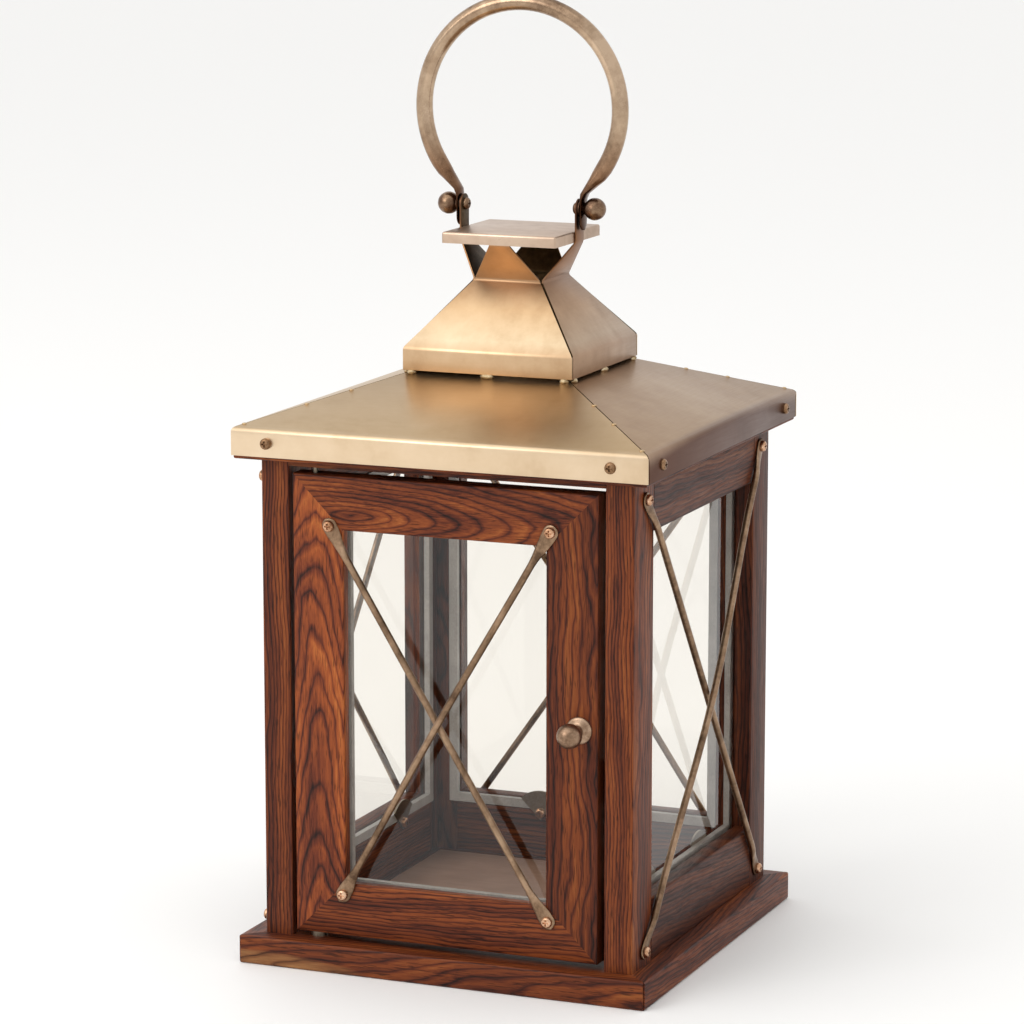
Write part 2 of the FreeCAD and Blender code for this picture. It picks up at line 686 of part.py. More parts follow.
def make_pivots():
    shank = "(%s-%s+pivot_side_gap+pivot_screw_bite)" % (tongue_outside, strap_inside)
    screw = pan_screw("pivot_screw", "pivot_screw_head_radius", "pivot_screw_head_height",
                      "pivot_screw_radius", shank)
    face_in = Rotation(axis_x, -90)
    keep("pivot_screws", copies("pivot_screw_pair", screw, [
        seat(0, "-" + strap_inside, pivot_height, turn, face_in) for turn in (1, 3)]))
    rings = []
    balls = []
    for turn in (1, 3):
        disc = cylinder("disc_%d" % turn, "washer_radius", "washer_thickness",
                        0, "-" + strap_outside, pivot_height, turn, upright)
        eye = cylinder("eye_%d" % turn, "pivot_screw_radius+running_clearance", "3*washer_thickness",
                       0, "-%s+washer_thickness" % strap_outside, pivot_height, turn, upright)
        rings.append(cut("ring_%d" % turn, disc, eye))
        near = "(%s+pivot_side_gap)" % tongue_outside
        ball = doc.addObject("Part::Sphere", "ball_%d" % turn)
        set_sizes(ball, Radius="ball_radius")
        place(ball, 0, "-(%s+ball_radius-ball_flat)" % near, pivot_height, turn)
        flat = block("ball_side_%d" % turn, "2*ball_radius", "ball_radius", "2*ball_radius",
                     "-ball_radius", "-" + near, pivot_height + "-ball_radius", turn)
        balls.append(cut("ball_nut_%d" % turn, ball, flat))
    keep("pivot_washers", group("washer_pair", rings))
    keep("ball_nuts", group("ball_pair", balls))


def make_all():
    make_base()
    make_top_frame()
    edgings = [make_panel("right", 1, "body_width", "stile_width", "rear_stile_width"),
               make_panel("left", 3, "body_width", "rear_stile_width", "stile_width"),
               make_panel("back", 2, "(2*%s)" % panel_inside, "back_stile_width", "back_stile_width")]
    keep("glass_edging", group("edging_set", edgings))
    make_door()
    make_knob()
    make_catch()
    screw = pan_screw("wood_screw", "screw_head_radius", "screw_head_height",
                      "screw_shank_radius", "screw_length")
    make_wood_screws(screw)
    make_roof(screw)
    make_hood()
    make_cap()
    make_bail()
    make_pivots()
    doc.recompute()


def check_and_export():
    faults = [thing.Name for thing in doc.Objects if "Invalid" in thing.State or "Error" in thing.State]
    for node, thing in nodes.items():
        if thing.Shape.isNull() or not thing.Shape.isValid() or not thing.Shape.Solids:
            faults.append(node)
    if faults:
        raise RuntimeError("failed objects: " + ", ".join(faults))
    os.makedirs("parts", exist_ok=True)
    for node, thing in nodes.items():
        thing.Shape.exportStep(os.path.join("parts", node + ".step"))
        print("%-22s %2d solids %10.1f mm3" % (node, len(thing.Shape.Solids), thing.Shape.Volume))
    print(len(nodes), "nodes")


make_all()
check_and_export()
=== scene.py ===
import bpy
import bmesh
import json
import math
from mathutils import Matrix, Vector, noise


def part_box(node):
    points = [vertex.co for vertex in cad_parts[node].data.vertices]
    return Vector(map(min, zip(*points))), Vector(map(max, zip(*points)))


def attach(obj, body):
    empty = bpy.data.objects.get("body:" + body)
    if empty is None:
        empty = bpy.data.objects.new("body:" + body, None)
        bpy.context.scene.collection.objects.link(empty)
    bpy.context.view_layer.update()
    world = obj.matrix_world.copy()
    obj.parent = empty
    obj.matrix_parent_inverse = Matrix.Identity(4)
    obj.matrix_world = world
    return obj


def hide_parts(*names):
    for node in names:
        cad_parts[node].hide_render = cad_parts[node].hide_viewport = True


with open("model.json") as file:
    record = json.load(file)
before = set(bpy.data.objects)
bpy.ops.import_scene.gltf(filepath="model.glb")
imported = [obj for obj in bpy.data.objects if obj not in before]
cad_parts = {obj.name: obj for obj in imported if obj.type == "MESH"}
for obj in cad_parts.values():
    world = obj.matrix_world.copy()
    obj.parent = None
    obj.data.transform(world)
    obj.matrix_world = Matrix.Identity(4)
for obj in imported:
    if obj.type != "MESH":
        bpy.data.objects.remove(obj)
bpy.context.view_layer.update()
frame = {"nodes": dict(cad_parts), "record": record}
cadNodes = frame["nodes"]
bodies = frame["record"]["behaviour"]["bodies"]
bodyOf = {node: body for body, members in bodies.items() for node in members}
mm = 0.001
print("stage: frame loaded,", len(cadNodes), "nodes")


# sRGB hex text to the linear colour that a socket takes
def linear(hexText):
    parts = [int(hexText[i:i + 2], 16) / 255 for i in (1, 3, 5)]
    return [p / 12.92 if p <= 0.04045 else ((p + 0.055) / 1.055) ** 2.4 for p in parts] + [1]


# a node with its settings; each input is a socket to link or a fixed value
def addNode(tree, kind, inputs=None, ramp=None, **settings):
    node = tree.nodes.new("ShaderNode" + kind)
    for name, value in settings.items():
        setattr(node, name, value)
    if ramp:
        while len(node.color_ramp.elements) < len(ramp):
            node.color_ramp.elements.new(0.5)
        for element, (place, colour) in zip(node.color_ramp.elements, ramp):
            element.position = place
            element.color = linear(colour)
    for name, value in (inputs or {}).items():
        if isinstance(value, bpy.types.NodeSocket):
            tree.links.new(value, node.inputs[name])
        else:
            node.inputs[name].default_value = value
    return node


def newMaterial(name):
    material = bpy.data.materials.new(name)
    material.use_nodes = True
    material.node_tree.nodes.clear()
    return material, material.node_tree


def closeMaterial(tree, shader):
    addNode(tree, "OutputMaterial", {"Surface": shader})


# turns a bmesh into a piece that rides its body, stands for its CAD nodes and has its slot
def finishPiece(bm, name, body, material, stands=(), sharpAngle=35, others=()):
    bmesh.ops.recalc_face_normals(bm, faces=bm.faces[:])
    mesh = bpy.data.meshes.new(name)
    bm.to_mesh(mesh)
    bm.free()
    mesh.shade_smooth()
    mesh.set_sharp_from_angle(angle=math.radians(sharpAngle))
    piece = bpy.data.objects.new(name, mesh)
    bpy.context.scene.collection.objects.link(piece)
    mesh.materials.append(material)
    for other in others:
        mesh.materials.append(other)
    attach(piece, body)
    if stands:
        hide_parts(*stands)


def quarterTurn(turn):
    return Matrix.Rotation(math.radians(90 * turn), 4, "Z")


def middleOf(node):
    low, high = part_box(node)
    return (low + high) / 2


def useOnNode(node, material):
    thing = cadNodes[node]
    thing.data.materials.clear()
    thing.data.materials.append(material)


# Rosewood, sawn and oiled: thin dark growth lines round a far heart, orange-brown between them, and fine
# open pores along the grain. Pores and fibres are drawn coarser than real ones, so that they show.
wood = {
    "lineSpacing": 1.8 * mm, "bandSpacing": 11 * mm, "bend": 2.4 * mm, "drift": (34, 34, 13),
    "fibreWidth": 0.5 * mm, "fibreStretch": 0.03, "poreWidth": 0.3 * mm, "poreStretch": 0.07,
    "cloudScale": 90.0, "roughness": 0.42, "gloss": 0.17, "reliefDepth": 0.12 * mm,
    # the share of each pattern in the tone, and what is taken off their sum
    "lineShare": 0.72, "fibreShare": 0.72, "cloudShare": 0.60, "bandShare": 0.22, "takenOff": 0.585,
}
woodTones = [(0.0, "#150806"), (0.18, "#2A120B"), (0.42, "#4B2011"), (0.70, "#6F3618"), (1.0, "#8F5226")]
lineTones = [(0.0, "#3A3A3A"), (0.16, "#B8B8B8"), (0.68, "#D4D4D4"), (0.92, "#969696"), (1.0, "#2E2E2E")]
sapTones = [(0.1, "#2E170C"), (0.45, "#7C5030"), (0.9, "#A3784B")]
waveLength = 2 * math.pi / 20                              # metres from ring to ring at scale 1


def rosewood(name, grain, heart, tilt, spacing, shade, sap):
    material, tree = newMaterial(name)
    turns = {"X": (0, -math.pi / 2, 0), "Y": (math.pi / 2, 0, 0), "Z": (0, 0, 0)}[grain]
    place = addNode(tree, "TexCoord").outputs["Object"]
    centred = addNode(tree, "Mapping", {"Vector": place, "Location": [-c for c in heart]})
    along = addNode(tree, "Mapping", {"Vector": centred.outputs[0], "Rotation": turns})
    tilted = addNode(tree, "Mapping", {"Vector": along.outputs[0],
                                       "Rotation": (math.radians(tilt[0]), math.radians(tilt[1]), 0)})
    # slow drift of the whole figure, longer along the grain than across it
    slow = addNode(tree, "Mapping", {"Vector": tilted.outputs[0], "Scale": wood["drift"]})
    drift = addNode(tree, "TexNoise", {"Vector": slow.outputs[0], "Scale": 1.0, "Detail": 3.0,
                                       "Roughness": 0.45})
    shift = addNode(tree, "VectorMath", {0: drift.outputs["Color"], 1: (0.5, 0.5, 0.5)},
                    operation="SUBTRACT")
    swing = addNode(tree, "VectorMath", {0: shift.outputs[0], 1: [wood["bend"] * 4] * 3},
                    operation="MULTIPLY")
    bent = addNode(tree, "VectorMath", {0: tilted.outputs[0], 1: swing.outputs[0]}, operation="ADD")
    lines = addNode(tree, "TexWave", {"Vector": bent.outputs[0], "Scale": waveLength / spacing,
                                      "Distortion": 1.6, "Detail": 2.0, "Detail Scale": 0.25},
                    wave_type="RINGS", rings_direction="Z", wave_profile="SAW")
    lineTone = addNode(tree, "ValToRGB", {"Fac": lines.outputs["Fac"]}, ramp=lineTones)
    bands = addNode(tree, "TexWave", {"Vector": bent.outputs[0], "Scale": waveLength / wood["bandSpacing"],
                                      "Distortion": 2.5, "Detail": 2.0, "Detail Scale": 0.5},
                    wave_type="RINGS", rings_direction="Z", wave_profile="SIN")
    stretch = addNode(tree, "Mapping", {"Vector": bent.outputs[0], "Scale": (1, 1, wood["fibreStretch"])})
    fibres = addNode(tree, "TexNoise", {"Vector": stretch.outputs[0], "Scale": 0.4 / wood["fibreWidth"],
                                        "Detail": 5.0, "Roughness": 0.68})
    cloud = addNode(tree, "TexNoise", {"Vector": stretch.outputs[0], "Scale": wood["cloudScale"],
                                       "Detail": 2.0})
    lineGrey = addNode(tree, "RGBToBW", {"Color": lineTone.outputs["Color"]})
    total = addNode(tree, "Math", {0: lineGrey.outputs[0], 1: wood["lineShare"], 2: -wood["takenOff"]},
                    operation="MULTIPLY_ADD")
    for value, share in ((fibres.outputs["Fac"], wood["fibreShare"]),
                         (cloud.outputs["Fac"], wood["cloudShare"]),
                         (bands.outputs["Fac"], wood["bandShare"])):
        total = addNode(tree, "Math", {0: value, 1: share, 2: total.outputs[0]}, operation="MULTIPLY_ADD")
    colour = addNode(tree, "ValToRGB", {"Fac": total.outputs[0]}, ramp=woodTones)
    poreMap = addNode(tree, "Mapping", {"Vector": along.outputs[0], "Scale": (1, 1, wood["poreStretch"])})
    pores = addNode(tree, "TexNoise", {"Vector": poreMap.outputs[0], "Scale": 0.5 / wood["poreWidth"],
                                       "Detail": 1.0})
    poreLine = addNode(tree, "MapRange", {"Value": pores.outputs["Fac"], "From Min": 0.33, "From Max": 0.43,
                                          "To Min": 0.42, "To Max": 1.0})
    toned = addNode(tree, "Math", {0: poreLine.outputs[0], 1: shade}, operation="MULTIPLY")
    grown = addNode(tree, "VectorMath", {0: colour.outputs["Color"], "Scale": toned.outputs[0]},
                    operation="SCALE")
    base = grown.outputs[0]
    if sap:
        # a pale streak of sapwood left on one edge
        middle, reach = sap
        near = addNode(tree, "Mapping", {"Vector": place,
                                         "Location": [-m / r for m, r in zip(middle, reach)],
                                         "Scale": [1 / r for r in reach]})
        wobble = addNode(tree, "VectorMath", {0: near.outputs[0], 1: shift.outputs[0]}, operation="ADD")
        away = addNode(tree, "VectorMath", {0: wobble.outputs[0]}, operation="LENGTH")
        amount = addNode(tree, "MapRange", {"Value": away.outputs["Value"], "From Min": 0.75,
                                            "From Max": 1.0, "To Min": 0.8, "To Max": 0.0})
        pale = addNode(tree, "ValToRGB", {"Fac": total.outputs[0]}, ramp=sapTones)
        mixed = addNode(tree, "MixRGB", {"Fac": amount.outputs[0], "Color1": base,
                                         "Color2": pale.outputs["Color"]})
        base = mixed.outputs[0]
    rough = addNode(tree, "MapRange", {"Value": fibres.outputs["Fac"], "From Min": 0.3, "From Max": 0.7,
                                       "To Min": wood["roughness"] + 0.12,
                                       "To Max": wood["roughness"] - 0.06})
    relief = addNode(tree, "Math", {0: poreLine.outputs[0], 1: 0.8, 2: fibres.outputs["Fac"]},
                     operation="MULTIPLY_ADD")
    bump = addNode(tree, "Bump", {"Height": relief.outputs[0], "Strength": 0.35,
                                 "Distance": wood["reliefDepth"]})
    shader = addNode(tree, "BsdfPrincipled", {"Base Color": base, "Roughness": rough.outputs[0],
                                              "Normal": bump.outputs[0],
                                              "Specular IOR Level": wood["gloss"]})
    closeMaterial(tree, shader.outputs[0])
    return material


# Sheet and drawn brass: a brushed, lacquered yellow metal that has toned unevenly, darker where it was
# handled, so it shines in soft wide patches. The brushing is drawn coarser than real, so that it shows.
# A ramp over height tones it from low to high, and each painted shade patch (middle, reach, tone) darkens a
# soft spot.
metal = {
    "grit": 0.25 * mm, "streak": 0.04, "spotShare": 0.35, "dulled": 0.10, "polished": 0.06,
    "unevenHeight": 6 * mm, "reliefDepth": 0.05 * mm,
}


def brass(name, light, mid, dark, roughness, brushAxis="X", brush=0.25, patch=22.0, relief=0.35,
          heightRamp=None, paintedShadePatches=()):
    material, tree = newMaterial(name)
    place = addNode(tree, "TexCoord").outputs["Object"]
    squeeze = {"X": (metal["streak"], 1, 1), "Y": (1, metal["streak"], 1), "none": (1, 1, 1)}[brushAxis]
    brushed = addNode(tree, "Mapping", {"Vector": place, "Scale": squeeze})
    lines = addNode(tree, "TexNoise", {"Vector": brushed.outputs[0], "Scale": 1 / metal["grit"] / 3,
                                       "Detail": 3.0})
    clouds = addNode(tree, "TexNoise", {"Vector": place, "Scale": patch, "Detail": 5.0, "Roughness": 0.6,
                                        "Distortion": 0.4})
    spots = addNode(tree, "TexNoise", {"Vector": place, "Scale": patch * 9, "Detail": 3.0, "Roughness": 0.7})
    tone = addNode(tree, "Math", {0: spots.outputs["Fac"], 1: metal["spotShare"], 2: clouds.outputs["Fac"]},
                   operation="MULTIPLY_ADD")
    colour = addNode(tree, "ValToRGB", {"Fac": tone.outputs[0]},
                     ramp=[(0.48, dark), (0.66, mid), (0.86, light)])
    base = colour.outputs["Color"]
    if heightRamp:
        low, high, ramp = heightRamp
        level = addNode(tree, "SeparateXYZ", {"Vector": place})
        uneven = addNode(tree, "Math", {0: clouds.outputs["Fac"], 1: metal["unevenHeight"],
                                        2: level.outputs["Z"]}, operation="MULTIPLY_ADD")
        lift = metal["unevenHeight"] / 2                    # what the clouds add on average
        height = addNode(tree, "MapRange", {"Value": uneven.outputs[0], "From Min": low + lift,
                                            "From Max": high + lift})
        tint = addNode(tree, "ValToRGB", {"Fac": height.outputs[0]}, ramp=ramp)
        base = addNode(tree, "MixRGB", {"Fac": 1.0, "Color1": base, "Color2": tint.outputs["Color"]},
                       blend_type="MULTIPLY").outputs[0]
    # each patch darkens a soft spot of the colour as painted shade
    for middle, reach, shade in paintedShadePatches:
        near = addNode(tree, "Mapping", {"Vector": place,
                                         "Location": [-m / r for m, r in zip(middle, reach)],
                                         "Scale": [1 / r for r in reach]})
        away = addNode(tree, "VectorMath", {0: near.outputs[0]}, operation="LENGTH")
        amount = addNode(tree, "MapRange", {"Value": away.outputs["Value"], "From Min": 0.55,
                                            "From Max": 1.0, "To Min": 1.0, "To Max": 0.0},
                         interpolation_type="SMOOTHSTEP")
        base = addNode(tree, "MixRGB", {"Fac": amount.outputs[0], "Color1": base, "Color2": linear(shade)},
                       blend_type="MULTIPLY").outputs[0]
    rough = addNode(tree, "MapRange", {"Value": clouds.outputs["Fac"], "From Min": 0.3, "From Max": 0.7,
                                       "To Min": roughness + metal["dulled"],
                                       "To Max": roughness - metal["polished"]})
    streak = addNode(tree, "Math", {0: lines.outputs["Fac"], 1: brush, 2: rough.outputs[0]},
                     operation="MULTIPLY_ADD")
    settle = addNode(tree, "Math", {0: streak.outputs[0], 1: brush / 2}, operation="SUBTRACT")
    heights = addNode(tree, "Math", {0: spots.outputs["Fac"], 1: 0.6, 2: lines.outputs["Fac"]},
                      operation="MULTIPLY_ADD")
    bump = addNode(tree, "Bump", {"Height": heights.outputs[0], "Strength": relief,
                                 "Distance": metal["reliefDepth"]})
    shader = addNode(tree, "BsdfPrincipled", {"Base Color": base, "Metallic": 1.0,
                                              "Roughness": settle.outputs[0], "Normal": bump.outputs[0]})
    closeMaterial(tree, shader.outputs[0])
    return material


# Float glass, clear and smooth with a faint film of dust: it shows only in what it mirrors.
def floatGlass():
    material, tree = newMaterial("floatGlass")
    place = addNode(tree, "TexCoord").outputs["Object"]
    film = addNode(tree, "TexNoise", {"Vector": place, "Scale": 9.0, "Detail": 4.0})
    haze = addNode(tree, "MapRange", {"Value": film.outputs["Fac"], "From Min": 0.35, "From Max": 0.75,
                                      "To Min": 0.02, "To Max": 0.06})
    clear = addNode(tree, "BsdfTransparent", {"Color": linear("#FBFAF8")})
    shine = addNode(tree, "BsdfPrincipled", {"Base Color": linear("#FFFFFF"), "Metallic": 1.0,
                                             "Roughness": haze.outputs[0]})
    fresnel = addNode(tree, "Fresnel", {"IOR": 1.45})
    back = addNode(tree, "NewGeometry")
    front = addNode(tree, "Math", {0: 1.0, 1: back.outputs["Backfacing"]}, operation="SUBTRACT")
    mirror = addNode(tree, "Math", {0: fresnel.outputs[0], 1: front.outputs[0]}, operation="MULTIPLY")
    both = addNode(tree, "MixShader", {0: mirror.outputs[0], 1: clear.outputs[0], 2: shine.outputs[0]})
    closeMaterial(tree, both.outputs[0])
    return material


# Plain finishes with a fine tooth: glazing strip, stained board, moulded plastic and plated steel.
def toothed(name, light, dark, roughness, scale, metallic=0.0, relief=0.3, stretch=(1, 1, 1)):
    material, tree = newMaterial(name)
    place = addNode(tree, "TexCoord").outputs["Object"]
    mapped = addNode(tree, "Mapping", {"Vector": place, "Scale": stretch})
    fine = addNode(tree, "TexNoise", {"Vector": mapped.outputs[0], "Scale": scale, "Detail": 6.0,
                                      "Roughness": 0.65})
    wide = addNode(tree, "TexNoise", {"Vector": place, "Scale": scale / 12, "Detail": 3.0})
    both = addNode(tree, "Math", {0: fine.outputs["Fac"], 1: wide.outputs["Fac"]}, operation="ADD")
    half = addNode(tree, "Math", {0: both.outputs[0], 1: 0.5}, operation="MULTIPLY")
    colour = addNode(tree, "ValToRGB", {"Fac": half.outputs[0]}, ramp=[(0.35, dark), (0.65, light)])
    rough = addNode(tree, "MapRange", {"Value": wide.outputs["Fac"], "To Min": roughness + 0.1,
                                       "To Max": roughness - 0.1})
    bump = addNode(tree, "Bump", {"Height": fine.outputs["Fac"], "Strength": relief, "Distance": 0.1 * mm})
    shader = addNode(tree, "BsdfPrincipled", {"Base Color": colour.outputs["Color"], "Metallic": metallic,
                                              "Roughness": rough.outputs[0], "Normal": bump.outputs[0]})
    closeMaterial(tree, shader.outputs[0])
    return material


roofLow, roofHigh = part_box("roof_sheet")
hoodLow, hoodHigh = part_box("hood")
capLow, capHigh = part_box("cap")
bailLow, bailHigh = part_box("bail")
# height ramps tone the hood darker at its head and the roof darker up its slopes; the right leaf's skirt
# gets a soft patch of painted shade
skirtPaintedShade = [((roofHigh.x, 0, roofLow.z + 3 * mm), (9 * mm, 200 * mm, 17 * mm), "#7F5F52")]
roofHeightRamp = (roofLow.z, roofHigh.z,
             [(0.0, "#FFFFFF"), (0.33, "#FFFFFF"), (0.40, "#E6DFCF"), (1.0, "#E3D8C6")])
hoodHeightRamp = (hoodLow.z, hoodHigh.z,
             [(0.0, "#F2E6DE"), (0.13, "#F2E6DE"), (0.19, "#FFFFFF"), (0.36, "#F4E6D8"), (0.52, "#C3AC9E"),
              (0.60, "#D8B79C"), (0.78, "#C8A890"), (0.85, "#82695F"), (1.0, "#7A6158")])
bailHeightRamp = (bailLow.z, bailHigh.z,
             [(0.0, "#80675C"), (0.13, "#80675C"), (0.24, "#D9C6BA"), (0.4, "#FFFFFF")])
# brushed sheet brass: a pale gold satin with wide soft lights; the right leaf of each is a darker, browner
# copy as painted shade
roofBrass = brass("roofBrass", "#DDC7AA", "#D4BC9D", "#C4A988", 0.34, "X", patch=7.0, relief=0.2,
                  brush=0.12, heightRamp=roofHeightRamp)
roofBrassShaded = brass("roofBrassShaded", "#BFA78F", "#B49A84", "#A58C76", 0.34, "Y", patch=7.0, relief=0.2,
                     brush=0.12, heightRamp=roofHeightRamp, paintedShadePatches=skirtPaintedShade)
hoodBrass = brass("hoodBrass", "#DBC6A6", "#D1BA99", "#C2A886", 0.33, "X", patch=12.0, relief=0.2,
                  brush=0.12, heightRamp=hoodHeightRamp)
# the hood's right leaf: a darker copy as painted shade
hoodBrassShaded = brass("hoodBrassShaded", "#BAA48C", "#B09982", "#A28B74", 0.34, "Y", patch=12.0, relief=0.2,
                     brush=0.12, heightRamp=hoodHeightRamp)
capBrass = brass("capBrass", "#C8B09A", "#B9A08B", "#A38A75", 0.34, "X", patch=14.0, relief=0.2, brush=0.12)
# inside of the sheets: dull and painted nearly black as shade
shadedInsideBrass = brass("shadedInsideBrass", "#6A563C", "#4C3C28", "#33281B", 0.5, "none", patch=30.0)
# drawn wire, waxed: a brown satin with one soft light along it
rodBrass = brass("rodBrass", "#A68A70", "#876D56", "#5C4838", 0.36, "none", patch=60.0)
# polished tube, darker towards its lower ends: the smoothest of the metals, with the sharpest lights
bailBrass = brass("bailBrass", "#BFA68C", "#9E856D", "#705A48", 0.20, "none", patch=26.0, relief=0.3,
                  heightRamp=bailHeightRamp)
# cast balls, antiqued: brown with rubbed bright spots and small dents
ballBrass = brass("ballBrass", "#8E745C", "#6A5140", "#3F2D22", 0.30, "none", patch=110.0, relief=0.8)
# chemically darkened small parts: an even dark brown
darkBrass = brass("darkBrass", "#7A5E4C", "#5C4436", "#3B2B23", 0.38, "none", patch=80.0, relief=0.4)
# turned knob, worn by hands: paler than the other dark parts
knobBrass = brass("knobBrass", "#AE937C", "#8D725C", "#5F4A3B", 0.34, "none", patch=90.0)
# rolled screw heads: coppery and bright on the rods, browner on the roof's skirt
screwBrass = brass("screwBrass", "#DDB99C", "#C59877", "#865D40", 0.30, "none", patch=160.0)
skirtScrewBrass = brass("skirtScrewBrass", "#A9876A", "#86674B", "#533B2A", 0.32, "none", patch=160.0)
# brazed tacks left as they set: pale, rough and uneven
beadBrass = brass("beadBrass", "#D2C2A4", "#B8A482", "#8C7556", 0.5, "none", patch=200.0, relief=0.8)
glassMaterial = floatGlass()
# extruded glazing strip: a matt light grey
tapeGrey = toothed("tapeGrey", "#B9B5B0", "#96928E", 0.5, 900.0)
# stained board with its grain drawn out along one way: a matt pinkish brown
floorStain = toothed("floorStain", "#A68470", "#8C6D5C", 0.6, 500.0, relief=0.06, stretch=(0.06, 1, 1))
# moulded magnet case: nearly black with a dull sheen
mouldedBrown = toothed("mouldedBrown", "#2B1F1A", "#1D1512", 0.5, 1500.0)
# zinc-plated steel: a grey, half dull metal
zincPlate = toothed("zincPlate", "#A69A88", "#7F7464", 0.38, 700.0, metallic=1.0, relief=0.1)
print("stage: plain finishes made")

# wooden boards: each is the CAD board with its long edges eased and its joints left tight
boards = {
    "ease": 0.9 * mm, "baseEase": 1.9 * mm, "jointEase": 0.16 * mm, "segments": 3,
    "flatAngle": 1.0, "cornerAngle": 40, "shortest": 3 * mm,
    # a board that isn't listed below: its heart (spread, shift), and its tone by side: lighter on the front
    # as painted light, darker on the right as painted shade
    "heartSpread": 1.35, "heartShift": (0.021, 0.012, 0.045), "frontPaintedLight": 1.1, "rightPaintedShade": 0.66,
    "otherTone": 0.9,
}
# grain direction, place of the heart (metres), tilt of the heart (degrees), line spacing, tone (lower on
# right-side boards as painted shade), sapwood
boardGrain = {
    "base_front": ("X", (0.03, -0.1475, -0.006), (3, 3), 2.4 * mm, 1.05,
                   ((-0.102, -0.116, 0.001), (0.052, 0.03, 0.0075))),
    "base_right": ("Y", (0.150, 0.03, 0.060), (2, 3), 2.2 * mm, 1.0, None),
    "door_left_stile": ("Z", (-0.0720, -0.0850, 0.060), (5.5, 0.5), 2.1 * mm, 1.75, None),
    "door_right_stile": ("Z", (0.100, -0.1700, 0.120), (0.4, 0.6), 1.7 * mm, 1.05, None),
    "door_top_rail": ("X", (-0.056, -0.1047, 0.2460), (11, 1), 2.4 * mm, 1.3, None),
    "door_bottom_rail": ("X", (0.060, -0.1500, -0.020), (0.6, 0.8), 1.9 * mm, 1.25, None),
    # the right bottom rail's low tone is painted shade on the right side
    "right_bottom_rail": ("Y", (0.1080, -0.020, 0.006), (6, 3), 2.6 * mm, 0.6, None),
    "head_strip": ("X", (0.02, -0.070, 0.300), (2, 2), 2.3 * mm, 0.8, None),
}


def grainOf(node):
    if node in boardGrain:
        return boardGrain[node]
    middle = middleOf(node)
    axis = "Z" if "stile" in node else ("X" if "back" in node or "front" in node else "Y")
    spread = boards["heartSpread"]
    shiftX, shiftY, shiftZ = boards["heartShift"]
    heart = (middle.x * spread + shiftX, middle.y * spread + shiftY,
             middle.z + (shiftZ if axis != "Z" else 0.0))
    # tone by side: painted light on the front boards, painted shade on the right ones
    shade = boards["otherTone"]
    if node.startswith("right"):
        shade = boards["rightPaintedShade"]
    if "front" in node:
        shade = boards["frontPaintedLight"]
    return axis, heart, (0.8, 0.6), wood["lineSpacing"], shade, None


def makeBoard(node):
    grain = grainOf(node)
    material = rosewood("rosewood_" + node, *grain)
    axis = "XYZ".index(grain[0])
    bm = bmesh.new()
    bm.from_mesh(cadNodes[node].data)
    bmesh.ops.remove_doubles(bm, verts=bm.verts[:], dist=0.001 * mm)
    bmesh.ops.dissolve_limit(bm, angle_limit=math.radians(boards["flatAngle"]), verts=bm.verts[:],
                             edges=bm.edges[:])
    isBase = node.startswith("base")
    reach = max(abs(c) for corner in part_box(node) for c in corner[:2]) - 1 * mm
    longEdges = []
    jointEdges = []
    sharp = math.radians(boards["cornerAngle"])
    for edge in bm.edges:
        if not edge.is_manifold or edge.calc_face_angle(0) < sharp:
            continue
        if edge.calc_length() < boards["shortest"]:
            continue
        a, b = (vert.co for vert in edge.verts)
        run = (b - a).normalized()
        atCorner = isBase and abs(run.z) > 0.9 and abs(a.x) > reach and abs(a.y) > reach
        (longEdges if abs(run[axis]) > 0.9 or atCorner else jointEdges).append(edge)
    longEase = boards["baseEase" if isBase else "ease"]
    for edges, ease in ((longEdges, longEase), (jointEdges, boards["jointEase"])):
        live = [edge for edge in edges if edge.is_valid]
        bmesh.ops.bevel(bm, geom=live, offset=ease, segments=boards["segments"], profile=0.5,
                        affect="EDGES", material=-1, clamp_overlap=True)
    finishPiece(bm, "board_" + node, bodyOf[node], material, [node], 30)


slotOf = {s["node"]: s["material_slot"] for s in frame["record"]["subparts"]}
woodNodes = [node for node, slot in slotOf.items() if slot == "rosewood"]
for woodNode in woodNodes:
    makeBoard(woodNode)
print("stage: boards eased,", len(woodNodes))

# folded sheet: each side is one bent leaf, and the leaves meet at open or tacked hips
sheet = {
    "thickness": 1.0 * mm, "foldRadius": 1.8 * mm, "foldSegments": 4, "edgeEase": 0.22 * mm,
    "frontInset": 0.1 * mm, "sideInset": 2.1 * mm, "slopeInset": 0.7 * mm, "hipInset": 0.4 * mm,
    "notch": 3.2 * mm,
}


def bentLeaf(rows):
    bm = bmesh.new()
    half, y, z = rows[0]
    edge = bm.edges.new([bm.verts.new((-half, y, z)), bm.verts.new((half, y, z))])
    folds = []
    for half, y, z in rows[1:]:
        made = bmesh.ops.extrude_edge_only(bm, edges=[edge])["geom"]
        fresh = {part for part in made if isinstance(part, bmesh.types.BMVert)}
        edge = next(part for part in made
                    if isinstance(part, bmesh.types.BMEdge) and set(part.verts) <= fresh)
        for vert in fresh:
            vert.co = (math.copysign(half, vert.co.x), y, z)
        folds.append(edge)
    return bm, folds[:-1]


